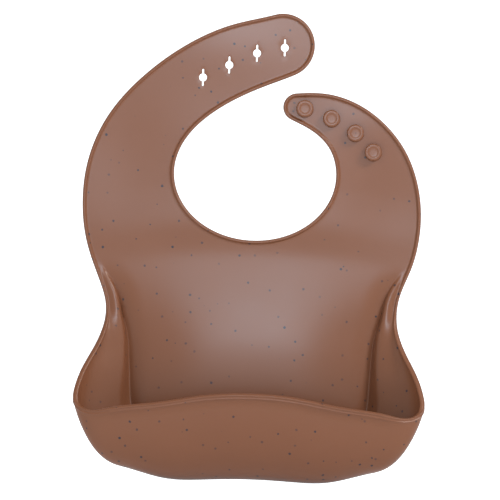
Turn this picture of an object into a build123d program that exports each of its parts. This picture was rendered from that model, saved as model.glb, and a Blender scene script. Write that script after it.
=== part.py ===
"""Silicone baby bib with a catch-all pocket and a snap-on neck strap.

The bib stands upright as it is worn: +Z up, the front faces -Y, and the origin is the centre of the neck
opening on the flat back face. The straps and the chest flex, so they are made as segments that hinge where
the rubber bends, and the pocket front is a shell of its own that hinges on the pocket floor.
"""

from build123d import *
from math import cos, radians, sin
import os

os.makedirs("parts", exist_ok=True)

# Sheet, in mm
SHEET = 2.0
BEAD_WIDTH = 2.5
BEAD_RISE = 1.2
HINGE_GAP = 0.8
CHEST_GAP = 1.6
TOUCH_GAP = 0.2

# Neck opening: the lower half is an ellipse
NECK_A = 52.5
NECK_B = 43.1

# Strap tips: centre and radius in the plane of the sheet, and the angles where the round end starts, is
# half way round and stops, walked clockwise
HOLE_TIP = (15.8, 83.8)
HOLE_TIP_R = 20.7
HOLE_TIP_ANGLES = (106.0, 20.0, -65.0)
STUD_TIP = (26.0, 44.1)
STUD_TIP_R = 9.0
STUD_TIP_ANGLES = (-115.0, 170.0, 95.0)

# Fastening holes and the studs that press into them
HOLES = [(-35.5, 61.7), (-18.7, 70.2), (-0.9, 78.3), (17.0, 82.3)]
HOLE_R = 2.55
SLIT_LENGTH = 11.2
SLIT_WIDTH = 1.2
STUDS = [(76.1, 16.2), (64.2, 28.3), (48.5, 37.3), (31.1, 43.3)]
STUD_STEM_R = 2.4
STUD_STEM_LENGTH = 2.2
STUD_HEAD_R = 5.55
STUD_HEAD_THICKNESS = 2.2
STUD_HEAD_ROUNDING = 0.8
STUD_DISH_R = 3.4
STUD_DISH_DEPTH = 0.5

# Bend lines of the straps: polar angles about the neck centre, in degrees
HOLE_FOLDS = [206.0, 186.0, 166.0, 140.0, 112.4, 97.6, 84.2]
STUD_FOLDS = [-26.0, -9.0, 6.0, 18.0, 30.4, 45.8]

# Straps lie between these distances from the neck centre, and their end pieces inside these corners
STRAP_NEAR = 30.0
STRAP_FAR = 160.0
HOLE_END_CORNERS = [(80, 120), (60, 60), (32, 55.4), (9, 50)]
STUD_END_CORNERS = [(32, 57), (5, 52), (5, 25)]

# Bend line of the chest, the top of the pocket walls, and the bridge that joins the sheet to the panel there
CHEST_FOLD_Z = -74.0
POCKET_TOP_Z = -88.0
BRIDGE_HEIGHT = 2.0
BRIDGE_MARGIN = 2.0

# Hinge line of the pocket front, on the pocket floor
FRONT_HINGE_Y = -28.0
FRONT_HINGE_Z = -196.0
FRONT_INWARD_DEG = 6.5
FLOOR_HALF_WIDTH = 62.0

# Shares of the wall's height, from the crease to the rim
CREASE_SHARE = 0.003
RIM_SHARE = 0.97
RIM_THICKNESS = 3.4
WALL_COLUMNS = 61
WALL_ROWS = 24
FEWEST_ROWS = 4
FIT_TOLERANCE = 0.05

FAR = 400.0


def polar(radius, degrees):
    """A point of the sheet's plane, by its distance and angle from the neck centre."""
    return Vector(radius * cos(radians(degrees)), radius * sin(radians(degrees)))


def on_tip(centre, radius, degrees):
    """A point on a strap's round tip."""
    return Vector(*centre) + polar(radius, degrees)


def clockwise(degrees):
    """The direction of travel at that angle of a circle walked clockwise."""
    return (sin(radians(degrees)), -cos(radians(degrees)))


# ---- Outline of the flat sheet -------------------------------------------------------------------

LEFT_EDGE = [(-97.6, -75.0), (-103.6, -60.0), (-109.1, -42.0), (-111.4, -20.0), (-109.9, 0), (-96.6, 35.2)]
LEFT_EDGE += [(-73.9, 62.0), (-47.5, 82.2), (-17.0, 96.6)]
HOLE_INNER_EDGE = [(10.4, 59.2), (-8.9, 50.7), (-24.2, 41.9), (-37.4, 31.4), (-48.0, 17.5)]
STUD_INNER_EDGE = [(47.9, 17.4), (35.2, 29.5)]
RIGHT_EDGE = [(44.7, 53.3), (66.5, 46.6), (86.5, 31.5), (97.3, 17.2), (104.6, 0), (108.2, -20.0)]
RIGHT_EDGE += [(107.2, -42.0), (102.6, -60.0), (96.6, -75.0)]
WAIST = 94.3
WAIST_Z = -90.0
RUN_OUT = 20.0


def inset_points(points, tangents, inset):
    """The points of an edge of the outline, moved into the sheet, which is on the right of its travel."""
    points = [Vector(*point) for point in points]
    edge = Edge.make_spline(points, tangents=[Vector(*tangent) for tangent in tangents])
    moved = []
    for point in points:
        along = edge.tangent_at(edge.param_at_point(point))
        moved.append(point + Vector(along.Y, -along.X) * inset)
    return moved


def sheet_face(inset):
    """The outline of the flat sheet, or the inner line of its edge bead."""
    hole_from, hole_half, hole_to = HOLE_TIP_ANGLES
    stud_from, stud_half, stud_to = STUD_TIP_ANGLES
    hole_r = HOLE_TIP_R - inset
    stud_r = STUD_TIP_R - inset
    left = [(-WAIST, WAIST_Z), *LEFT_EDGE, on_tip(HOLE_TIP, HOLE_TIP_R, hole_from)]
    hole_side = [on_tip(HOLE_TIP, HOLE_TIP_R, hole_to), *HOLE_INNER_EDGE, (-NECK_A, 0)]
    stud_side = [(NECK_A, 0), *STUD_INNER_EDGE, on_tip(STUD_TIP, STUD_TIP_R, stud_from)]
    right = [on_tip(STUD_TIP, STUD_TIP_R, stud_to), *RIGHT_EDGE, (WAIST, WAIST_Z)]
    left_tangents = [(0, 1), clockwise(hole_from)]
    hole_tangents = [clockwise(hole_to), (0, -1)]
    stud_tangents = [(0, 1), clockwise(stud_from)]
    right_tangents = [clockwise(stud_to), (0, -1)]
    with BuildSketch() as face:
        with BuildLine():
            outer_left = Spline(*inset_points(left, left_tangents, inset), tangents=left_tangents)
            hole_end = [on_tip(HOLE_TIP, hole_r, degrees) for degrees in (hole_half, hole_to)]
            ThreePointArc(outer_left @ 1, *hole_end)
            Spline(*inset_points(hole_side, hole_tangents, inset), tangents=hole_tangents)
            EllipticalCenterArc((0, 0), NECK_A + inset, NECK_B + inset, start_angle=180, arc_size=180)
            Spline(*inset_points(stud_side, stud_tangents, inset), tangents=stud_tangents)
            ThreePointArc(*(on_tip(STUD_TIP, stud_r, degrees) for degrees in STUD_TIP_ANGLES))
            outer_right = Spline(*inset_points(right, right_tangents, inset), tangents=right_tangents)
            below = WAIST_Z - RUN_OUT
            Polyline(outer_right @ 1, (WAIST - inset, below), (inset - WAIST, below), outer_left @ 0)
        make_face()
    return face.sketch


sheet_outline = sheet_face(0)
sheet_inside = sheet_face(BEAD_WIDTH)


def sheet_piece(region):
    """The sheet and its edge bead inside a region of the plane, as one solid."""
    with BuildPart() as piece:
        with BuildSketch(Plane.XZ):
            add(sheet_outline)
            add(region, mode=Mode.INTERSECT)
        extrude(amount=SHEET + BEAD_RISE)
        with BuildSketch(Plane.XZ.offset(SHEET)):
            add(sheet_inside)
        extrude(amount=BEAD_RISE, mode=Mode.SUBTRACT)
    return piece.part


def fold_side(degrees, side):
    """The inner and outer end of a line beside a bend line, half a hinge gap away from it."""
    shift = polar(side * HINGE_GAP / 2, degrees + 90)
    return polar(STRAP_NEAR, degrees) + shift, polar(STRAP_FAR, degrees) + shift


def region_inside(*corners):
    """The region of the plane inside a polygon."""
    with BuildSketch() as region:
        with BuildLine():
            Polyline(*corners, close=True)
        make_face()
    return region.sketch


def wedge(high, low):
    """The region between two bend lines."""
    inner_high, outer_high = fold_side(high, -1)
    inner_low, outer_low = fold_side(low, 1)
    return region_inside(inner_high, outer_high, outer_low, inner_low)


def write(part, name):
    part.label = name
    export_step(part, f"parts/{name}.step")


# ---- Chest panel ---------------------------------------------------------------------------------

left_inner, left_outer = fold_side(HOLE_FOLDS[0], 1)
right_inner, right_outer = fold_side(STUD_FOLDS[0], -1)
chest_foot = CHEST_FOLD_Z + CHEST_GAP / 2
chest_low = [(-STRAP_FAR, chest_foot), (STRAP_FAR, chest_foot)]
write(sheet_piece(region_inside(left_inner, left_outer, *chest_low, right_outer, right_inner)), "chest_panel")

# ---- Hole strap: one segment between each two bend lines, each tip segment with its hole ------------

hole_end = region_inside(*fold_side(HOLE_FOLDS[-1], -1), *HOLE_END_CORNERS)
for number, high in enumerate(HOLE_FOLDS, start=1):
    is_tip = number == len(HOLE_FOLDS)
    region = hole_end if is_tip else wedge(high, HOLE_FOLDS[number])
    solid = sheet_piece(region)
    hole = number - (len(HOLE_FOLDS) - len(HOLES)) - 1
    with BuildPart() as segment:
        add(solid)
        if hole >= 0:
            with BuildSketch(Plane.XZ):
                with Locations(HOLES[hole]):
                    Circle(HOLE_R)
                    Rectangle(SLIT_WIDTH, SLIT_LENGTH)
            extrude(amount=SHEET + BEAD_RISE, mode=Mode.SUBTRACT)
    write(segment.part, f"hole_strap_{number}")

# ---- Stud strap and its studs ----------------------------------------------------------------------

stud_end = region_inside(*fold_side(STUD_FOLDS[-1], 1), *STUD_END_CORNERS)
for number, low in enumerate(STUD_FOLDS, start=1):
    is_tip = number == len(STUD_FOLDS)
    region = stud_end if is_tip else wedge(STUD_FOLDS[number], low)
    write(sheet_piece(region), f"stud_strap_{number}")

for number, place in enumerate(STUDS, start=1):
    with BuildPart() as stud:
        with BuildSketch(Plane.XZ.offset(SHEET)):
            with Locations(place):
                Circle(STUD_STEM_R)
        extrude(amount=STUD_STEM_LENGTH)
        with BuildSketch(Plane.XZ.offset(SHEET + STUD_STEM_LENGTH)):
            with Locations(place):
                Circle(STUD_HEAD_R)
        extrude(amount=STUD_HEAD_THICKNESS)
        head_edges = stud.edges().filter_by(GeomType.CIRCLE).filter_by(lambda edge: edge.radius > STUD_DISH_R)
        fillet(head_edges, STUD_HEAD_ROUNDING)
        with BuildSketch(Plane.XZ.offset(SHEET + STUD_STEM_LENGTH + STUD_HEAD_THICKNESS)):
            with Locations(place):
                Circle(STUD_DISH_R)
        extrude(amount=-STUD_DISH_DEPTH, mode=Mode.SUBTRACT)
    write(stud.part, f"stud_{number}")

# ---- Pocket: four guide lines run round it, from the left waist to the right one -------------------
# Each station holds a point of the crease on the back panel, two points that pull the wall outwards and
# down, and a point of the rim. The wall between them is a cubic Bezier curve.

MID = -SHEET / 2
STATIONS = [
    [(90.5, MID, -88), (91.5, -1.3, -88), (92.5, -1.9, -88), (93.5, -2.5, -88)],
    [(86.5, MID, -101), (89.5, -2.5, -101.5), (92.5, -6, -102), (95.0, -9, -101)],
    [(83.0, MID, -114), (88.5, -3, -115.5), (95, -11, -117), (100.5, -17, -114)],
    [(80.5, MID, -127), (89, -4, -130), (100, -16, -133), (107, -25, -127)],
    [(78.5, MID, -139), (92, -5, -146), (107, -22, -152), (111.8, -32, -140)],
    [(76.5, MID, -151), (92, -6, -164), (112, -30, -172), (111.6, -37, -149)],
    [(73, MID, -163), (86, -5, -182), (107, -36, -190), (105.5, -40.5, -153.9)],
    [(65, MID, -174), (73, -3, -195), (88, -42, -203), (88, -43.5, -152.8)],
    [(47, MID, -182), (51, -3, -204), (60, -44, -208), (60, -45.5, -149)],
    [(24, MID, -184), (25.5, -3, -205), (30, -45, -208), (30, -46.5, -143.8)],
    [(0, MID, -184), (0, -3, -204), (0, -45, -207), (0, -47, -141.8)],
]


def guide_line(column):
    """One guide line through every station, mirrored to the left side."""
    right = [Vector(*station[column]) for station in STATIONS]
    left = [Vector(-point.X, point.Y, point.Z) for point in right]
    points = left + right[-2::-1]
    shares = [index / (len(points) - 1) for index in range(len(points))]
    return Edge.make_spline(points, parameters=shares)


GUIDES = [guide_line(column) for column in range(4)]


def pocket_point(around, across):
    """A point of the wall's middle: around runs from waist to waist, across from the crease to the rim."""
    a, b, c, d = (line.position_at(around, position_mode=PositionMode.PARAMETER) for line in GUIDES)
    rest = 1 - across
    return a * rest**3 + b * (3 * rest**2 * across) + c * (3 * rest * across**2) + d * across**3


def pocket_face(low, high):
    """The middle surface of the wall between two shares of its height."""
    rows = max(FEWEST_ROWS, round(WALL_ROWS * (high - low)))
    grid = [
        [pocket_point(i / (WALL_COLUMNS - 1), low + (high - low) * j / (rows - 1)) for j in range(rows)]
        for i in range(WALL_COLUMNS)
    ]
    return Face.make_surface_from_array_of_points(grid, tol=FIT_TOLERANCE)


with BuildPart() as pocket_wall:
    thicken(pocket_face(CREASE_SHARE, RIM_SHARE), amount=SHEET / 2, both=True)

with BuildPart() as pocket_bead:
    thicken(pocket_face(RIM_SHARE, 1.0), amount=RIM_THICKNESS / 2, both=True)

# The pocket front turns towards the panel until its cut meets the cut of the walls behind it.
rear_cut = Plane(origin=(0, FRONT_HINGE_Y + HINGE_GAP / 3, FRONT_HINGE_Z), z_dir=(0, 1, 0))
lean = radians(FRONT_INWARD_DEG)
front_cut = Plane(origin=(0, FRONT_HINGE_Y - HINGE_GAP / 3, FRONT_HINGE_Z), z_dir=(0, -cos(lean), -sin(lean)))
left_cut = Plane(origin=(-FLOOR_HALF_WIDTH, 0, 0), z_dir=(-1, 0, 0))
right_cut = Plane(origin=(FLOOR_HALF_WIDTH, 0, 0), z_dir=(1, 0, 0))


def cut_piece(whole, *cuts):
    """What is left of a part in front of every cutting plane."""
    with BuildPart() as piece:
        add(whole)
        for plane in cuts:
            split(bisect_by=plane, keep=Keep.TOP)
    return piece.part


wall = pocket_wall.part
bead = pocket_bead.part
write(cut_piece(wall, rear_cut, left_cut), "pocket_side_left")
write(cut_piece(wall, rear_cut, right_cut), "pocket_side_right")
write(cut_piece(wall, rear_cut, -left_cut, -right_cut), "pocket_floor")
write(cut_piece(wall, front_cut), "pocket_front")
write(cut_piece(bead, rear_cut, left_cut), "side_rim_left")
write(cut_piece(bead, rear_cut, right_cut), "side_rim_right")
write(cut_piece(bead, front_cut), "front_rim")

# ---- Lower panel: the flat back of the pocket, down to the crease ----------------------------------

crease = GUIDES[0]
crease_face = Face(Wire([crease, Edge.make_line(crease @ 1, crease @ 0)]))
with BuildSketch() as waist_region:
    strip_top = CHEST_FOLD_Z - CHEST_GAP / 2
    strip_foot = POCKET_TOP_Z + TOUCH_GAP
    with Locations((0, (strip_top + strip_foot) / 2)):
        Rectangle(FAR, strip_top - strip_foot)
waist_strip = sheet_piece(waist_region.sketch)
with BuildPart() as lower_panel:
    extrude(crease_face, amount=SHEET / 2, both=True)
    add(waist_strip)
    with BuildSketch(Plane.XZ):
        with Locations((0, POCKET_TOP_Z)):
            Rectangle(2 * (STATIONS[0][0][0] - BRIDGE_MARGIN), BRIDGE_HEIGHT)
    extrude(amount=SHEET)
write(lower_panel.part, "lower_panel")
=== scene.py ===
"""Silicone baby bib: one moulded rubber skin with a beaded edge, slit holes, studs and a catch-all pocket."""

from math import cos, pi, radians, sin

import bmesh
import bpy
import numpy as np
from mathutils import Matrix, Vector
from mathutils.geometry import delaunay_2d_cdt


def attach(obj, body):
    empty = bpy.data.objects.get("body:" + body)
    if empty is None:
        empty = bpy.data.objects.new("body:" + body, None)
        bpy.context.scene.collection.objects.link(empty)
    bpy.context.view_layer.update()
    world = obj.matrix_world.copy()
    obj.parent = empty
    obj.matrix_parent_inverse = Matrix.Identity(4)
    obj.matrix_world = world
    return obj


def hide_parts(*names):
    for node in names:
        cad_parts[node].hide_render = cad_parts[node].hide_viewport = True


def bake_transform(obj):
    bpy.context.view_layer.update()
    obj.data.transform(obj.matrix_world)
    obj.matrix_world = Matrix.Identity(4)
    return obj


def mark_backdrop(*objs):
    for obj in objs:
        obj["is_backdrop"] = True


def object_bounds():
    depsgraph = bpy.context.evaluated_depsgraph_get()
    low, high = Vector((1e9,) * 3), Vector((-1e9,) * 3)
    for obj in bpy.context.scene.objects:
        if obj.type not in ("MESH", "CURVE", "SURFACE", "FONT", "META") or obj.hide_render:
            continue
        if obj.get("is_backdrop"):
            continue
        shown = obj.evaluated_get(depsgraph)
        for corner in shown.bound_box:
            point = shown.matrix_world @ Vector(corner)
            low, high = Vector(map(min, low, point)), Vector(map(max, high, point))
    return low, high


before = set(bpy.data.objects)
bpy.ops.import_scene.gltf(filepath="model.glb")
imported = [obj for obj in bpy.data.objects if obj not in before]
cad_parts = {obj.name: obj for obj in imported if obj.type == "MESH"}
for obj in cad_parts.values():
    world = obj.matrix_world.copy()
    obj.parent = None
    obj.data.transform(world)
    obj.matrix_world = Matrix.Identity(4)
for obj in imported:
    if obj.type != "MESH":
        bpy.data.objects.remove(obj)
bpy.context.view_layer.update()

MM = 0.001

# ---- Dimensions in mm, in the row frame: X to the right, Z up, the front faces -Y ------------------------

# Y of the middle of the flat sheet, which is 2 mm thick
MID = -1.0
NECK_A = 52.5
NECK_B = 43.1
# Round tips of the straps: centre and radius, and the angles where the round part starts and ends
HOLE_TIP = (15.8, 83.8, 20.7)
HOLE_TIP_ANGLES = (106, -65)
STUD_TIP = (26.0, 44.1, 9.0)
STUD_TIP_ANGLES = (-115, 95)
LEFT_EDGE = [(-94.3, -90), (-97.6, -75), (-103.6, -60), (-109.1, -42), (-111.4, -20), (-109.9, 0),
             (-96.6, 35.2), (-73.9, 62), (-47.5, 82.2), (-17, 96.6)]
HOLE_INNER_EDGE = [(10.4, 59.2), (-8.9, 50.7), (-24.2, 41.9), (-37.4, 31.4), (-48, 17.5), (-NECK_A, 0)]
STUD_INNER_EDGE = [(NECK_A, 0), (47.9, 17.4), (35.2, 29.5)]
RIGHT_EDGE = [(44.7, 53.3), (66.5, 46.6), (86.5, 31.5), (97.3, 17.2), (104.6, 0), (108.2, -20), (107.2, -42),
              (102.6, -60), (96.6, -75), (94.3, -90)]

HOLES = [(-35.5, 61.7), (-18.7, 70.2), (-0.9, 78.3), (17.0, 82.3)]
HOLE_RADIUS = 2.55
SLIT_HALF_LENGTH = 5.6
SLIT_HALF_WIDTH = 0.6
# The rounded lip of a hole: distance from the hole, and half the thickness there
HOLE_ROWS = [0, 0.12, 0.35]
HOLE_HEIGHTS = [0.82, 0.96, 1.0]

STUDS = [(76.1, 16.2), (64.2, 28.3), (48.5, 37.3), (31.1, 43.3)]
# Stem and head of a stud: radius, and distance in front of the back face
STUD_PROFILE = [
    (2.9, 1.75), (2.55, 2.0), (2.4, 2.4), (2.4, 4.0), (2.55, 4.25), (3.0, 4.35), (4.9, 4.35), (5.3, 4.45),
    (5.52, 4.75), (5.55, 5.2), (5.5, 5.7), (5.3, 6.1), (4.95, 6.33), (4.5, 6.4), (3.8, 6.4), (3.5, 6.37),
    (3.2, 6.28), (2.9, 6.2), (2.5, 6.16), (1.3, 6.14), (0, 6.14),
]
# Segments of the stud strap between the chest and the first stud
BARE_STUD_ARMS = 2

# Beaded edge: distance from the free edge, height of the front face, depth of the back face
EDGE_ROWS = [0, 0.15, 0.4, 0.8, 1.25, 1.65, 1.98, 2.2, 2.42, 3.2, 4.4]
FRONT_HEIGHTS = [0.6, 1.3, 1.8, 2.12, 2.2, 2.14, 1.88, 1.4, 1.04, 1.0, 1.0]
BACK_DEPTHS = [0.45, 0.76, 0.93, 1.0, 1.0, 1.0, 1.0, 1.0, 1.0, 1.0, 1.0]
# Where the pocket stands open, a fine roll runs along its outer face too: extra depth
ROLL_DEPTHS = [0.0, 0.06, 0.02, -0.12, -0.22, -0.02, 0.3, 0.42, 0.3, 0.05, 0.0]
# Groove of the end face: distance inwards from the free edge, and height
EDGE_FACE = [(0.02, 0.42), (0.42, 0.06), (0.02, -0.28)]

# Pocket wall, right side, from the waist to the bottom centre. Each station holds the crease on the panel,
# two points that pull the wall outwards and down, the rim, and the height of the ridge beside the crease.
WALL_STATIONS = [
    [(81.5, -101), (86, -3.6, -101.5), (92, -6, -102), (95.3, -10, -101), 3.1],
    [(79.3, -114), (86.5, -5, -115.5), (96, -9, -117), (100.2, -17, -114), 3.5],
    [(78.4, -127), (88, -6.5, -130), (101, -14, -133), (107, -25, -127), 3.7],
    [(77.6, -139), (92, -8, -146), (107, -20, -151), (111.6, -32, -140), 3.9],
    [(76.3, -151), (93, -9, -164), (109, -29, -170), (111.6, -37, -149), 3.9],
    [(73, -163), (86, -8, -182), (104.5, -36, -190.5), (105.5, -40.5, -153.9), 3.1],
    [(65, -174), (73, -4, -195), (87.5, -42, -204), (88, -43.5, -152.8), 2.0],
    [(47, -182), (51, -3, -204), (60, -44, -208.5), (60, -45.5, -149), 0.8],
    [(24, -184), (25.5, -3, -205), (30, -45, -208), (30, -46.5, -143.8), 0],
    [(0, -184), (0, -3, -204), (0, -45, -207), (0, -47, -141.8), 0],
]
# Above them the wall grows out of the flat edge: height, distance of the crease from the edge, rim, ridge
WAIST_STATIONS = [
    (-60, 4.0, -1.0, 0.0),
    (-66, 5.0, -1.0, 0.35),
    (-72, 6.6, -1.2, 1.2),
    (-78, 8.0, -1.7, 2.0),
    (-84, 8.8, -2.4, 2.6),
    (-89, 9.4, -3.6, 3.0),
]
# The panel dips towards the crease over this length, by this share of the ridge, ever more steeply
RUN_IN = 16.0
DIP_SHARE = 0.85
DIP_POWER = 2.4
# Place of the ridge's top, as a share of the way from the crease to the rim
RIDGE_AT = 0.16
# Width of the Gaussian that rounds the corners of a section
SMOOTHING = 0.85
# The rim curls outwards where the pocket stands open, and not at its corners: curl, the length that it takes,
# how far forward the rim stands where the curl starts and is full, and X where it starts and is full
CURL = 3.0
CURL_LENGTH = 9.0
CURL_DEPTHS = (20, 38)
CURL_CORNERS = (108, 84)
# How far forward the rim stands where the outer roll starts and is full
ROLL_DEPTH_RANGE = (12, 28)

# The panel leans forward over the pocket: height, and how far it stands forward at its middle
LEAN = [(-200, 0), (-188, 0), (-176, 3.2), (-162, 6.2), (-147, 7.2), (-130, 6.8), (-115, 5.7), (-100, 4.0),
        (-84, 2.3), (-72, 1.25), (-62, 0.5), (-54, 0.1), (-46, 0.2), (-36, 0.5), (-24, 0.3), (-10, 0)]
# Half width of the lean at the bottom, what it gains on the way up, and the heights between which it gains it
LEAN_HALF_WIDTH = 68
LEAN_WIDENING = 34
LEAN_WIDENS = (-110, -50)
# The lean starts in an arch: its height at the middle, and its drop at this distance to each side
ARCH_HEIGHT = 4
ARCH_DROP = 8
ARCH_HALF_WIDTH = 88
# Only the panel moves, not the wall: Y where the effect starts and is full
PANEL_Y = (-9, -2)
# Gentle swells of the soft sheet: centre, spread and height towards the front
SWELLS = [
    ((-88, 12), (34, 40), -1.3),
    ((92, -20), (34, 34), -1.2),
    ((-20, 84), (50, 26), 1.2),
    ((70, 34), (24, 20), 0.5),
]

# Fold lines of the straps, in degrees about the neck centre. The pieces are cut halfway between them, and the
# first piece starts beside its fold.
HOLE_FOLDS = [206, 186, 166, 140, 112.4, 97.6, 84.2]
STUD_FOLDS = [-26, -9, 6, 18, 30.4, 45.8]
FIRST_CUT_GAP = 6
END_SPREAD = 9.0
WAIST_CUT_Z = -88.0
# The strap with the holes: left of each X and above the Z with it
HOLE_STRAP_REGION = [(-40, -300), (12, 0), (38, 56.5)]
# The strap with the studs is right of this
STUD_STRAP_X = 10

# ---- Fineness of the meshes ----------------------------------------------------------------------------

PATCH_TOP_Z = -60.0
EDGE_STEP = 1.8
WALL_ROWS = 60
PITCH = 3.0
# Distance between the rows of a triangular grid, as a share of its pitch
TRIANGLE_ROW = 0.866
SEED_X = (-115, 115)
SEED_Z = (-190, 110)
SEED_GAP = 1.5
HOLE_POINTS = 56
STUD_SIDES = 64
FLOOR_SIDES = 96
# Points of the construction lines
ARC_STEPS = 90
NECK_STEPS = 120
GUIDE_STEPS = 40
RUN_STEPS = 24
WALL_STEPS = 160
FILTER_STEP = 0.4
SLIT_STEPS = 200
# Each side edge lies within the first or the last fifth of the outline's points
SIDE_PART = 5
JOIN_TOLERANCE = 1e-5
CUT_TOLERANCE = 1e-7


# ---- Curves --------------------------------------------------------------------------------------------

def lengths(points):
    """Distance of each point from the first, along the line."""
    return np.concatenate([[0], np.cumsum(np.linalg.norm(np.diff(points, axis=0), axis=1))])


def at(points, where):
    """Points of a line at the given distances along it."""
    s = lengths(points)
    return np.stack([np.interp(where, s, points[:, i]) for i in range(points.shape[1])], axis=-1)


def spline(points, start=None, end=None, knots=None, steps=24):
    """Many points of a smooth curve through the given ones, with the same number in each span."""
    p = np.array(points, float)
    h = np.diff(lengths(p) if knots is None else knots)
    n = len(p)
    a = np.zeros((n, n))
    b = np.zeros(p.shape)
    for i in range(1, n - 1):
        a[i, i - 1:i + 2] = 1 / h[i - 1], 2 / h[i - 1] + 2 / h[i], 1 / h[i]
        b[i] = 3 * ((p[i] - p[i - 1]) / h[i - 1] ** 2 + (p[i + 1] - p[i]) / h[i] ** 2)
    first_chord = (p[1] - p[0]) / h[0]
    last_chord = (p[-1] - p[-2]) / h[-1]
    for row, near, tangent, chord in ((0, 1, start, first_chord), (n - 1, n - 2, end, last_chord)):
        a[row, row] = 1 if tangent is not None else 2
        a[row, near] = 0 if tangent is not None else 1
        b[row] = tangent if tangent is not None else 3 * chord
    m = np.linalg.solve(a, b)
    out = []
    for i in range(n - 1):
        for t in np.linspace(0, 1, steps, endpoint=False):
            out.append(p[i] * (1 + 2 * t) * (1 - t) ** 2 + m[i] * h[i] * t * (1 - t) ** 2
                       + p[i + 1] * t * t * (3 - 2 * t) + m[i + 1] * h[i] * t * t * (t - 1))
    out.append(p[-1])
    return np.array(out)


def bezier(a, b, c, d, t):
    """Points of a cubic from a to d, pulled by b and c."""
    return a * (1 - t) ** 3 + b * 3 * t * (1 - t) ** 2 + c * 3 * t * t * (1 - t) + d * t ** 3


def smoothstep(x):
    """0 below 0, 1 above 1, smooth between them."""
    x = np.clip(x, 0, 1)
    return x * x * (3 - 2 * x)


def ramp(x, start, full):
    """0 at start, 1 at full, smooth between them."""
    return smoothstep((x - start) / (full - start))


def arc(centre, first, last):
    """Points of a circle walked clockwise between two angles."""
    x, z, r = centre
    angles = np.radians(np.linspace(first, last, ARC_STEPS))
    return np.stack([x + r * np.cos(angles), z + r * np.sin(angles)], axis=1)


def clockwise(degrees):
    """Direction of travel on a circle walked clockwise."""
    return (sin(radians(degrees)), -cos(radians(degrees)))


def on_circle(centre, degrees):
    """Point of a circle at an angle."""
    x, z, r = centre
    return (x + r * cos(radians(degrees)), z + r * sin(radians(degrees)))


# ---- Free edge of the flat sheet, walked clockwise with the sheet on the right -------------------------

hole_from, hole_to = HOLE_TIP_ANGLES
stud_from, stud_to = STUD_TIP_ANGLES
left_edge = spline([*LEFT_EDGE, on_circle(HOLE_TIP, hole_from)], (0, 1), clockwise(hole_from))
hole_side = spline([on_circle(HOLE_TIP, hole_to), *HOLE_INNER_EDGE], clockwise(hole_to), (0, -1))
lower_half = np.radians(np.linspace(180, 360, NECK_STEPS))
neck = np.stack([NECK_A * np.cos(lower_half), NECK_B * np.sin(lower_half)], axis=1)
stud_side = spline([*STUD_INNER_EDGE, on_circle(STUD_TIP, stud_from)], (0, 1), clockwise(stud_from))
right_edge = spline([on_circle(STUD_TIP, stud_to), *RIGHT_EDGE], clockwise(stud_to), (0, -1))
outline = np.concatenate([
    left_edge, arc(HOLE_TIP, hole_from, hole_to)[1:], hole_side[1:], neck[1:], stud_side[1:],
    arc(STUD_TIP, stud_from + 360, stud_to)[1:], right_edge[1:],
])


def normals_of(line):
    """Unit vectors to the right of travel."""
    along = np.gradient(line, lengths(line), axis=0)
    along /= np.linalg.norm(along, axis=1)[:, None]
    return np.stack([along[:, 1], -along[:, 0]], axis=1)


outline_normals = normals_of(outline)
outline_s = lengths(outline)


def edge_place(z, side):
    """Distance along the outline where the left (-1) or right (1) edge has that height."""
    count = len(outline) // SIDE_PART
    part = slice(0, count) if side < 0 else slice(len(outline) - count, len(outline))
    zs, ss = outline[part, 1], outline_s[part]
    return np.interp(z, zs, ss) if side < 0 else np.interp(-z, -zs, ss)


first_s, last_s = edge_place(PATCH_TOP_Z, -1), edge_place(PATCH_TOP_Z, 1)
flat_count = int(round((last_s - first_s) / EDGE_STEP))
flat_s = np.linspace(first_s, last_s, flat_count)
flat_edge = at(outline, flat_s)
flat_inward = np.stack([np.interp(flat_s, outline_s, outline_normals[:, i]) for i in range(2)], axis=1)
flat_inward /= np.linalg.norm(flat_inward, axis=1)[:, None]


# ---- Middle surface of the pocket wall -----------------------------------------------------------------
# A station is a list of six points: where the dip starts, the crease, two pulls, the rim, and the ridge's
# height as the X of a point, so that it runs along the same splines.

def waist_station(side, z, width, rim_y, ridge):
    """Section where the wall grows out of the flat edge."""
    s = edge_place(z, side)
    edge_x, edge_z = at(outline, np.array([s]))[0]
    nx, nz = (np.interp(s, outline_s, outline_normals[:, i]) for i in range(2))
    rim = np.array([edge_x, rim_y, edge_z])
    crease = np.array([edge_x + nx * width, MID, edge_z + nz * width])
    start = crease + np.array([nx, 0, nz]) * RUN_IN
    pulls = [crease + (rim - crease) * f for f in (1 / 3, 2 / 3)]
    return [start, crease, *pulls, rim, np.array([ridge, 0, 0])]


def wall_station(side, crease, low, high, rim, ridge):
    """Section of the free wall."""
    c = np.array([crease[0], MID, crease[1]])
    out = np.array([low[0] - c[0], 0, low[2] - c[2]])
    start = c - out / np.linalg.norm(out) * RUN_IN
    flip = np.array([side, 1, 1])
    return [start * flip, c * flip, np.array(low) * flip, np.array(high) * flip, np.array(rim) * flip,
            np.array([ridge, 0, 0])]


def side_stations(side, rows):
    """All sections of one side, from the waist down."""
    waist = [waist_station(side, *row) for row in WAIST_STATIONS]
    return waist + [wall_station(side, *row) for row in rows]


stations = np.array(side_stations(1, WALL_STATIONS) + side_stations(-1, WALL_STATIONS[:-1])[::-1])
rim_knots = lengths(stations[:, 4])
guides = [spline(stations[:, i], knots=rim_knots, steps=GUIDE_STEPS) for i in range(stations.shape[1])]
rim_s = lengths(guides[4])
column_count = int(round(rim_s[-1] / EDGE_STEP))
column_s = np.linspace(0, rim_s[-1], column_count)
columns = [np.stack([np.interp(column_s, rim_s, g[:, i]) for i in range(3)], axis=1) for g in guides]


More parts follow.
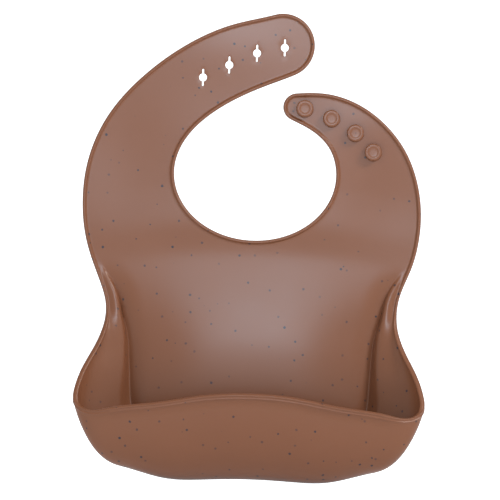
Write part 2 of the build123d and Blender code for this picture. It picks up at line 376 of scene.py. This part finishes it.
def softened(line):
    """The line in even steps, with its corners rounded."""
    total = lengths(line)[-1]
    even = at(line, np.linspace(0, total, int(total / FILTER_STEP)))
    reach = int(3 * SMOOTHING / FILTER_STEP)
    taps = np.exp(-0.5 * (np.arange(-reach, reach + 1) * FILTER_STEP / SMOOTHING) ** 2)
    taps /= taps.sum()
    before = 2 * even[0] - even[reach:0:-1]
    after = 2 * even[-1] - even[-2:-reach - 2:-1]
    padded = np.concatenate([before, even, after])
    return np.stack([np.convolve(padded[:, k], taps, mode="valid") for k in range(3)], axis=1)


def section(i):
    """Points of the wall's middle from the rim to the flat panel: the edge rows first, then even steps."""
    start, crease, low, high, rim, ridge = (column[i] for column in columns)
    t = np.linspace(0, 1, WALL_STEPS)[:, None]
    wall = bezier(crease, low, high, rim, t)
    climb = smoothstep(t[:, 0] / RIDGE_AT)
    bump = climb * (1 - ramp(t[:, 0], RIDGE_AT, 1))
    dip = ridge[0] * DIP_SHARE
    wall[:, 1] += dip * (1 - climb) - ridge[0] * bump
    share = np.linspace(0, 1, RUN_STEPS, endpoint=False)[:, None]
    run = start + (crease - start) * share
    run[:, 1] += dip * share[:, 0] ** DIP_POWER
    line = softened(np.concatenate([run, wall])[::-1])
    inner_rows = np.linspace(EDGE_ROWS[-1], lengths(line)[-1], WALL_ROWS + 1)[1:]
    return at(line, np.concatenate([EDGE_ROWS, inner_rows]))


grid = np.array([section(i) for i in range(column_count)])
grid[0, :, 1] = grid[-1, :, 1] = MID
grid[:, -1, 1] = MID


def surface_normals(surface):
    """Unit normals of the wall's middle, towards the inside of the pocket."""
    found = np.cross(np.gradient(surface, axis=1), np.gradient(surface, axis=0))
    found /= np.linalg.norm(found, axis=2)[:, :, None]
    if found[1, 1, 1] > 0:
        found = -found
    for side in (found[0], found[-1], found[:, -1]):
        side[:] = (0, -1, 0)
    return found


openness = ramp(-grid[:, 0, 1], *CURL_DEPTHS) * ramp(np.abs(grid[:, 0, 0]), *CURL_CORNERS)
from_rim = np.cumsum(np.linalg.norm(np.diff(grid, axis=1, prepend=grid[:, :1]), axis=2), axis=1)
curl = CURL * np.clip(1 - from_rim / CURL_LENGTH, 0, 1) ** 2 * openness[:, None]
grid = grid - surface_normals(grid) * curl[:, :, None]
grid_normals = surface_normals(grid)

# ---- One mesh of the middle surface --------------------------------------------------------------------

places, normals, heights, depths = [], [], [], []
known = {}
faces = []


def vertex(place, normal=(0, -1, 0), height=1.0, depth=1.0):
    """Index of the middle point, made once for each place."""
    key = tuple(np.round(place, 3))
    if key not in known:
        known[key] = len(places)
        places.append(np.array(place, float))
        normals.append(np.array(normal, float))
        heights.append(height)
        depths.append(depth)
    return known[key]


def join_rows(rows, closed=False):
    """Quads between each row of points and the next, all round if the rows are closed."""
    for a, b in zip(rows, rows[1:]):
        for j in range(len(a) if closed else len(a) - 1):
            k = (j + 1) % len(a)
            faces.append((a[j], a[k], b[k], b[j]))


wall_ids = []
rolled = ramp(-grid[:, 0, 1], *ROLL_DEPTH_RANGE)
for i in range(column_count):
    ids = []
    for j in range(grid.shape[1]):
        row = min(j, len(EDGE_ROWS) - 1)
        depth = BACK_DEPTHS[row] + ROLL_DEPTHS[row] * rolled[i]
        ids.append(vertex(grid[i, j], grid_normals[i, j], FRONT_HEIGHTS[row], depth))
    wall_ids.append(ids)
edge_ids = [wall_ids[-1][:len(EDGE_ROWS)]]
for i in range(1, flat_count - 1):
    ids = []
    for inset, height, depth in zip(EDGE_ROWS, FRONT_HEIGHTS, BACK_DEPTHS):
        x, z = flat_edge[i] + flat_inward[i] * inset
        ids.append(vertex((x, MID, z), height=height, depth=depth))
    edge_ids.append(ids)
edge_ids.append(wall_ids[0][:len(EDGE_ROWS)])
join_rows(edge_ids)
join_rows(wall_ids)


def hole_outline(hole_x, hole_z):
    """A circle that runs smoothly into a slit above and below."""
    z = -SLIT_HALF_LENGTH * np.cos(np.linspace(0, pi / 2, SLIT_STEPS))
    z = np.concatenate([z, -z[-2::-1]])
    end = SLIT_HALF_LENGTH - SLIT_HALF_WIDTH
    slit = np.sqrt(np.clip(SLIT_HALF_WIDTH ** 2 - np.clip(np.abs(z) - end, 0, None) ** 2, 0, None))
    round_part = np.sqrt(np.clip(HOLE_RADIUS ** 2 - z ** 2, 0, None))
    width = (slit ** 3 + round_part ** 3) ** (1 / 3)
    right = np.stack([hole_x + width, hole_z + z], axis=1)
    left = 2 * np.array([hole_x, 0]) + right * [-1, 1]
    closed = np.concatenate([right, left[-2:0:-1], right[:1]])
    return at(closed, np.linspace(0, lengths(closed)[-1], HOLE_POINTS, endpoint=False))


hole_rings = []
for hole in HOLES:
    loop = hole_outline(*hole)
    along = np.roll(loop, -1, axis=0) - np.roll(loop, 1, axis=0)
    along /= np.linalg.norm(along, axis=1)[:, None]
    outward = np.stack([along[:, 1], -along[:, 0]], axis=1)
    rings = []
    for inset, height in zip(HOLE_ROWS, HOLE_HEIGHTS):
        rings.append([vertex((x, MID, z), height=height, depth=height) for x, z in loop + outward * inset])
    join_rows(rings, closed=True)
    hole_rings.append(rings)

# Flat interior, filled between the edge band, the pocket wall and the holes
inner = [ids[-1] for ids in edge_ids]
inner += wall_ids[0][len(EDGE_ROWS):]
inner += [ids[-1] for ids in wall_ids[1:]]
inner += wall_ids[-1][len(EDGE_ROWS):-1][::-1]
loops = [inner] + [rings[-1] for rings in hole_rings]
polygons = [np.array([[places[v][0], places[v][2]] for v in loop]) for loop in loops]


def inside(points, polygon):
    """True for the points inside a polygon."""
    x, z = points[:, 0][:, None], points[:, 1][:, None]
    a, b = polygon, np.roll(polygon, -1, axis=0)
    crosses = (a[:, 1] > z) != (b[:, 1] > z)
    with np.errstate(divide="ignore", invalid="ignore"):
        reach = (b[:, 0] - a[:, 0]) * (z - a[:, 1]) / (b[:, 1] - a[:, 1]) + a[:, 0]
    return (np.sum(crosses & (x < reach), axis=1) % 2) == 1


def on_sheet(points):
    """True for the points in the interior and in none of the holes."""
    keep = inside(points, polygons[0])
    for hole in polygons[1:]:
        keep &= ~inside(points, hole)
    return keep


seeds = []
for row, z in enumerate(np.arange(*SEED_Z, PITCH * TRIANGLE_ROW)):
    for x in np.arange(*SEED_X, PITCH) + (PITCH / 2 if row % 2 else 0):
        seeds.append((x, z))
seeds = np.array(seeds)
seeds = seeds[on_sheet(seeds)]
boundary = np.concatenate(polygons)
nearest = np.array([np.min(np.sum((boundary - seed) ** 2, axis=1)) for seed in seeds])
seeds = seeds[nearest > SEED_GAP ** 2]
edges = []
offset = 0
for loop in loops:
    edges += [(offset + k, offset + (k + 1) % len(loop)) for k in range(len(loop))]
    offset += len(loop)
flat_points = [Vector(point) for point in np.concatenate([boundary, seeds])]
filled = delaunay_2d_cdt(flat_points, edges, [], 0, JOIN_TOLERANCE)
flat_places = np.array([[v.x, v.y] for v in filled[0]])
triangles = np.array(filled[2])
triangles = triangles[on_sheet(flat_places[triangles].mean(axis=1))]
flat_ids = [vertex((x, MID, z)) for x, z in flat_places]
faces += [tuple(flat_ids[v] for v in triangle) for triangle in triangles]

# ---- Front and back of the skin ------------------------------------------------------------------------

middle = np.array(places)
middle_normals = np.array(normals)


def forward_shift(x, z):
    """How far the soft panel stands in front of the flat sheet."""
    lean_line = spline(LEAN)
    arch = ARCH_HEIGHT - ARCH_DROP * np.clip(x / ARCH_HALF_WIDTH, -1, 1) ** 2
    lean = np.interp(z - arch, lean_line[:, 0], lean_line[:, 1], left=0, right=0)
    reach = LEAN_HALF_WIDTH + LEAN_WIDENING * ramp(z, *LEAN_WIDENS)
    shift = lean * np.exp(-(np.abs(x) / reach) ** 4)
    for (cx, cz), (wide, tall), rise in SWELLS:
        shift += rise * np.exp(-((x - cx) / wide) ** 2 - ((z - cz) / tall) ** 2)
    return shift


middle[:, 1] -= ramp(middle[:, 1], *PANEL_Y) * forward_shift(middle[:, 0], middle[:, 2])
front = middle + middle_normals * np.array(heights)[:, None]
back = middle - middle_normals * np.array(depths)[:, None]


def facing(face):
    """The face with its corners in the order that makes it face the front."""
    a, b, c = (middle[v] for v in face[:3])
    d = middle[face[-1]]
    turned = np.cross(b - a, c - a) + np.cross(c - a, d - a)
    return face if np.dot(turned, sum(middle_normals[v] for v in face)) > 0 else face[::-1]


bm = bmesh.new()
front_verts = [bm.verts.new(p * MM) for p in front]
back_verts = [bm.verts.new(p * MM) for p in back]
for face in map(facing, faces):
    bm.faces.new([front_verts[v] for v in face])
    bm.faces.new([back_verts[v] for v in face[::-1]])

# Free edge: the end face between the front and the back, with its fine groove
ring = [ids[0] for ids in edge_ids] + [ids[0] for ids in wall_ids[1:-1]]
next_ring = [ids[1] for ids in edge_ids] + [ids[1] for ids in wall_ids[1:-1]]
edge_loops = [[front_verts[v] for v in ring]]
for inset, height in EDGE_FACE:
    loop = []
    for v, w in zip(ring, next_ring):
        inward = (middle[w] - middle[v]) / np.linalg.norm(middle[w] - middle[v])
        loop.append(bm.verts.new((middle[v] + inward * inset + middle_normals[v] * height) * MM))
    edge_loops.append(loop)
edge_loops.append([back_verts[v] for v in ring])
hole_loops = [[[verts[v] for v in rings[0]] for verts in (front_verts, back_verts)] for rings in hole_rings]
for group in [edge_loops, *hole_loops]:
    for a, b in zip(group, group[1:]):
        for j in range(len(a)):
            k = (j + 1) % len(a)
            bm.faces.new((a[j], a[k], b[k], b[j]))
bmesh.ops.recalc_face_normals(bm, faces=bm.faces[:])


# ---- Cuts between the pieces ---------------------------------------------------------------------------

def cuts_between(folds, first_cut):
    """The first cut, and one halfway between each two folds."""
    return [first_cut] + [(a + b) / 2 for a, b in zip(folds, folds[1:])]


HOLE_CUTS = cuts_between(HOLE_FOLDS, HOLE_FOLDS[0] + FIRST_CUT_GAP)
STUD_CUTS = cuts_between(STUD_FOLDS, STUD_FOLDS[0] - FIRST_CUT_GAP)


def on_hole_strap(x, z):
    """True on the strap with the holes, whose tip reaches over the neck's right half."""
    return any(x < right and z > bottom for right, bottom in HOLE_STRAP_REGION)


def cut_along(degrees, chosen):
    """Cut the chosen faces along a ray from the neck centre."""
    direction = Vector((cos(radians(degrees)), 0, sin(radians(degrees))))
    part = []
    for f in bm.faces:
        centre = f.calc_center_median() / MM
        if chosen(centre.x, centre.z) and f.calc_center_median().dot(direction) > 0:
            part.append(f)
    geometry = set(part) | {e for f in part for e in f.edges} | {v for f in part for v in f.verts}
    bmesh.ops.bisect_plane(bm, geom=list(geometry), dist=CUT_TOLERANCE, plane_co=(0, 0, 0),
                           plane_no=direction.cross(Vector((0, 1, 0))))


for degrees in HOLE_CUTS:
    cut_along(degrees, on_hole_strap)
for degrees in STUD_CUTS:
    cut_along(degrees, lambda x, z: not on_hole_strap(x, z))
geometry = bm.verts[:] + bm.edges[:] + bm.faces[:]
bmesh.ops.bisect_plane(bm, geom=geometry, dist=CUT_TOLERANCE, plane_co=(0, 0, WAIST_CUT_Z * MM),
                       plane_no=(0, 0, 1))
bm.normal_update()
bm.verts.ensure_lookup_table()
bm.verts.index_update()


def piece_of(x, z):
    """Name of the piece that a face belongs to, from its centre in mm."""
    if z < WAIST_CUT_Z:
        return "pocket_skin"
    angle = np.degrees(np.arctan2(z, x)) % 360
    if on_hole_strap(x, z):
        passed = sum(angle < cut for cut in HOLE_CUTS)
        return f"hole_strap_skin_{passed}" if passed else "chest_skin"
    if x > STUD_STRAP_X:
        angle = (angle + 90) % 360 - 90
        passed = sum(angle > cut for cut in STUD_CUTS)
        return f"stud_strap_skin_{passed}" if passed else "chest_skin"
    return "chest_skin"


groups = {}
for f in bm.faces:
    centre = f.calc_center_median() / MM
    groups.setdefault(piece_of(centre.x, centre.z), []).append(f)

# ---- Material ------------------------------------------------------------------------------------------

BASE_COLOUR = (0.188, 0.069, 0.032)
SPECK_COLOUR = (0.016, 0.018, 0.03)
# Speck cells in a metre, and the distance from a cell's point where its speck fades and is full
SPECK_CELLS = 135.0
SPECK_FADES = 0.125
SPECK_FULL = 0.095
FAINTEST_SPECK = 0.4
# How far noise shifts the outline of a speck, in metres
SPECK_WOBBLE = 0.0006
CLOUDING = 0.04
ROUGHNESS = (0.3, 0.35)


def add_node(tree, kind, sockets, **settings):
    """A new node. A socket gets a value, or a link where the value is another node's output."""
    node = tree.nodes.new(kind)
    for key, value in settings.items():
        setattr(node, key, value)
    for key, value in sockets.items():
        if isinstance(value, bpy.types.NodeSocket):
            tree.links.new(value, node.inputs[key])
        else:
            node.inputs[key].default_value = value
    return node


def speck_strength_map(tree, place, full_strength):
    """Specks, one per cell, cut by the surface at different depths, so their sizes differ."""
    wobble = add_node(tree, "ShaderNodeTexNoise", {"Vector": place, "Scale": 900.0, "Detail": 1.0})
    shifted = add_node(tree, "ShaderNodeVectorMath",
                       {0: wobble.outputs["Color"], 1: (SPECK_WOBBLE, SPECK_WOBBLE, SPECK_WOBBLE), 2: place},
                       operation="MULTIPLY_ADD")
    cells = add_node(tree, "ShaderNodeTexVoronoi",
                     {"Vector": shifted.outputs["Vector"], "Scale": SPECK_CELLS, "Randomness": 1.0})
    spot = add_node(tree, "ShaderNodeMapRange",
                    {"Value": cells.outputs["Distance"], "From Min": SPECK_FADES, "From Max": SPECK_FULL},
                    interpolation_type="SMOOTHSTEP")
    chance = add_node(tree, "ShaderNodeSeparateColor", {"Color": cells.outputs["Color"]})
    strength = add_node(tree, "ShaderNodeMapRange",
                        {"Value": chance.outputs["Red"], "To Min": FAINTEST_SPECK * full_strength,
                         "To Max": full_strength})
    speck = add_node(tree, "ShaderNodeMath", {0: spot.outputs["Result"], 1: strength.outputs["Result"]},
                     operation="MULTIPLY")
    return speck.outputs["Value"]


def silicone(name, full_strength):
    """Satin rubber with faintly clouded pigment, dark specks and the very fine grain of the mould."""
    mat = bpy.data.materials.new(name)
    mat.use_nodes = True
    tree = mat.node_tree
    shader = tree.nodes["Principled BSDF"]
    shader.inputs["IOR"].default_value = 1.41
    place = add_node(tree, "ShaderNodeTexCoord", {}).outputs["Object"]
    clouds = add_node(tree, "ShaderNodeTexNoise", {"Vector": place, "Scale": 28.0, "Detail": 3.0})
    cloud = clouds.outputs["Fac"]
    darker = (*[c * (1 - CLOUDING) for c in BASE_COLOUR], 1)
    lighter = (*[c * (1 + CLOUDING) for c in BASE_COLOUR], 1)
    tone = add_node(tree, "ShaderNodeMix", {"Factor": cloud, "A": darker, "B": lighter}, data_type="RGBA")
    specks = speck_strength_map(tree, place, full_strength)
    paint = add_node(tree, "ShaderNodeMix",
                     {"Factor": specks, "A": tone.outputs["Result"], "B": (*SPECK_COLOUR, 1)},
                     data_type="RGBA")
    grain = add_node(tree, "ShaderNodeTexNoise", {"Vector": place, "Scale": 2500.0, "Detail": 2.0})
    bump = add_node(tree, "ShaderNodeBump",
                    {"Height": grain.outputs["Fac"], "Strength": 0.05, "Distance": 0.0002})
    uneven = add_node(tree, "ShaderNodeMapRange",
                      {"Value": cloud, "To Min": ROUGHNESS[0], "To Max": ROUGHNESS[1]})
    tree.links.new(paint.outputs["Result"], shader.inputs["Base Color"])
    tree.links.new(bump.outputs["Normal"], shader.inputs["Normal"])
    tree.links.new(uneven.outputs["Result"], shader.inputs["Roughness"])
    return mat


skin_material = silicone("silicone_skin", 1.0)
stud_material = silicone("silicone_stud", 0.6)


# ---- Pieces of the skin --------------------------------------------------------------------------------

def smooth_object(name, points, polygons, material):
    """A new object with smooth shading, linked into the scene."""
    mesh = bpy.data.meshes.new(name)
    mesh.from_pydata(points, [], polygons)
    mesh.polygons.foreach_set("use_smooth", [True] * len(mesh.polygons))
    mesh.materials.append(material)
    made = bpy.data.objects.new(name, mesh)
    bpy.context.scene.collection.objects.link(made)
    return made


def cap_loops(chosen, ids):
    """Loops of local vertex numbers round the openings that the cuts leave."""
    mine = set(chosen)
    follow = {}
    for f in chosen:
        for loop in f.loops:
            if any(g not in mine for g in loop.edge.link_faces):
                follow[ids[loop.link_loop_next.vert.index]] = ids[loop.vert.index]
    caps = []
    while follow:
        first = next(iter(follow))
        cap = [first]
        step = follow.pop(first)
        while step != first:
            cap.append(step)
            step = follow.pop(step)
        caps.append(cap)
    return caps


def skin_piece(name, chosen):
    """A closed mesh of the chosen faces, shaded as part of the whole skin."""
    ids = {}
    coordinates, piece_polygons, corner_normals = [], [], []
    for f in chosen:
        for v in f.verts:
            if v.index not in ids:
                ids[v.index] = len(ids)
                coordinates.append(v.co.copy())
        piece_polygons.append([ids[v.index] for v in f.verts])
        corner_normals += [v.normal.copy() for v in f.verts]
    for cap in cap_loops(chosen, ids):
        a, b, c = (coordinates[cap[k]] for k in (0, len(cap) // 3, 2 * len(cap) // 3))
        piece_polygons.append(cap)
        corner_normals += [(b - a).cross(c - a).normalized()] * len(cap)
    piece = smooth_object(name, coordinates, piece_polygons, skin_material)
    piece.data.normals_split_custom_set(corner_normals)
    return piece


made_pieces = {name: skin_piece(name, chosen) for name, chosen in groups.items()}

chest = made_pieces["chest_skin"]
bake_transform(chest)
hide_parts("chest_panel")
pocket = made_pieces["pocket_skin"]
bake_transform(pocket)
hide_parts("lower_panel", "pocket_side_left", "pocket_side_right", "pocket_floor", "pocket_front",
            "front_rim", "side_rim_left", "side_rim_right")


def hang_strap(strap, folds, cuts, last_cut):
    """Bake each piece of a strap in place, and hide the part that it stands for."""
    cuts = cuts + [last_cut]
    for number, degrees in enumerate(folds, start=1):
        piece = made_pieces[f"{strap}_strap_skin_{number}"]
        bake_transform(piece)
        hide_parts(f"{strap}_strap_{number}")


hang_strap("hole", HOLE_FOLDS, HOLE_CUTS, HOLE_FOLDS[-1] - END_SPREAD)
hang_strap("stud", STUD_FOLDS, STUD_CUTS, STUD_FOLDS[-1] + END_SPREAD)


# ---- Studs: a stem and a flat round head with a soft edge and a shallow dish ---------------------------

def ring_points(profile, sides, centre_x, centre_z):
    """Rings of points about a line along Y: radius and distance towards the front, one ring after another."""
    points = []
    for r, out in profile:
        for k in range(sides):
            turn = 2 * pi * k / sides
            points.append(Vector((centre_x + r * cos(turn), -out, centre_z + r * sin(turn))) * MM)
    return points


def ring_quads(ring_count, sides):
    """Quads between rings of points that are numbered one ring after another."""
    quads = []
    for j in range(ring_count - 1):
        low, high = j * sides, (j + 1) * sides
        for k in range(sides):
            n = (k + 1) % sides
            quads.append((low + k, low + n, high + n, high + k))
    return quads


def stud_piece(name, place, body, node_name):
    """A closed stud that rides on one body of the strap."""
    x, z = place
    *rings, tip = STUD_PROFILE
    points = ring_points(rings, STUD_SIDES, x, z)
    points.append(Vector((x, -tip[1], z)) * MM)
    stud_polygons = ring_quads(len(rings), STUD_SIDES)
    top = (len(rings) - 1) * STUD_SIDES
    for k in range(STUD_SIDES):
        stud_polygons.append((top + k, top + (k + 1) % STUD_SIDES, len(points) - 1))
    stud_polygons.append(tuple(range(STUD_SIDES))[::-1])
    piece = smooth_object(name, points, stud_polygons, stud_material)
    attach(piece, body)
    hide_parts(node_name)


for number, place in enumerate(STUDS, start=1):
    stud_piece(f"stud_head_{number}", place, f"stud_arm_{number + BARE_STUD_ARMS}", f"stud_{number}")

# ---- Camera, in metres ---------------------------------------------------------------------------------

VIEW_WIDTH = 0.324
DISTANCE = 4.0
AIM = Vector((-0.00193, -0.004, -0.04932))
ROLL = 1.6
FAR_CLIP = 60
scene = bpy.context.scene
camera_data = bpy.data.cameras.new("camera")
camera_data.lens = camera_data.sensor_width * DISTANCE / VIEW_WIDTH
camera_data.clip_end = FAR_CLIP
camera = bpy.data.objects.new("camera", camera_data)
scene.collection.objects.link(camera)
upright = Matrix.Rotation(pi / 2, 4, "X")
camera.matrix_world = Matrix.Translation(AIM + Vector((0, -DISTANCE, 0))) @ (
    upright @ Matrix.Rotation(radians(ROLL), 4, "Z"))
scene.camera = camera

# ---- Floor, world and lights, in metres ----------------------------------------------------------------

FLOOR_RADIUS = 7.0
FLOOR_RISE = 3.0
FLOOR_GAP = 0.0005
FLOOR_ALBEDO = 0.7
# The floor glows a little, and more where the camera sees it, so that it shows as plain white
FLOOR_GLOW = 0.4
FLOOR_GLOW_SEEN = 0.7


def add_floor(lowest):
    """A flat disc under the object, which rises into a round wall far out."""
    profile = [(0.0, 0.0), (0.5, 0.0), (1.5, 0.0), (FLOOR_RADIUS, 0.0)]
    for a in np.linspace(0.1, pi / 2, 16):
        profile.append((FLOOR_RADIUS + FLOOR_RISE * sin(a), FLOOR_RISE * (1 - cos(a))))
    points = []
    for r, h in profile:
        for k in range(FLOOR_SIDES):
            turn = 2 * pi * k / FLOOR_SIDES
            points.append((r * cos(turn), r * sin(turn), lowest - FLOOR_GAP + h))
    material = bpy.data.materials.new("studio_floor")
    material.use_nodes = True
    tree = material.node_tree
    shader = tree.nodes["Principled BSDF"]
    shader.inputs["Base Color"].default_value = (FLOOR_ALBEDO, FLOOR_ALBEDO, FLOOR_ALBEDO, 1)
    shader.inputs["Roughness"].default_value = 0.9
    shader.inputs["Emission Color"].default_value = (0.88, 0.95, 1, 1)
    seen = add_node(tree, "ShaderNodeLightPath", {}).outputs["Is Camera Ray"]
    glow = add_node(tree, "ShaderNodeMath", {0: seen, 1: FLOOR_GLOW_SEEN, 2: FLOOR_GLOW},
                    operation="MULTIPLY_ADD")
    tree.links.new(glow.outputs["Value"], shader.inputs["Emission Strength"])
    return smooth_object("floor", points, ring_quads(len(profile), FLOOR_SIDES), material)


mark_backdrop(add_floor(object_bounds()[0].z))


def add_world():
    """Soft warm light from all round, weaker near the horizon and stronger from above."""
    world = bpy.data.worlds.new("studio")
    scene.world = world
    world.use_nodes = True
    tree = world.node_tree
    sky = tree.nodes["Background"]
    sky.inputs["Color"].default_value = (1, 0.97, 0.94, 1)
    direction = add_node(tree, "ShaderNodeTexCoord", {}).outputs["Generated"]
    height = add_node(tree, "ShaderNodeSeparateXYZ", {"Vector": direction}).outputs["Z"]
    strength = add_node(tree, "ShaderNodeMapRange",
                        {"Value": height, "From Min": -0.3, "From Max": 0.9, "To Min": 0.36, "To Max": 0.67})
    tree.links.new(strength.outputs["Result"], sky.inputs["Strength"])


def soft_light(name, place, target, size, power, colour):
    """A square lamp that the camera doesn't see."""
    data = bpy.data.lights.new(name, "AREA")
    data.size = size
    data.energy = power
    data.color = colour
    light = bpy.data.objects.new(name, data)
    scene.collection.objects.link(light)
    light.visible_camera = False
    light.location = place
    light.rotation_mode = "QUATERNION"
    light.rotation_quaternion = (Vector(target) - Vector(place)).to_track_quat("-Z", "Y")


add_world()
LIT_POINT = (0, 0, -0.05)
soft_light("key", (1.4, -1.1, 1.2), LIT_POINT, 0.5, 22, (1, 0.97, 0.93))
soft_light("back_fill", (-0.8, 2.0, 1.4), LIT_POINT, 1.2, 14, (1, 0.98, 0.96))
soft_light("sheen", (0.03, -1.0, 0.19), LIT_POINT, 0.16, 3.2, (0.7, 0.86, 1))

scene.view_settings.view_transform = "Standard"
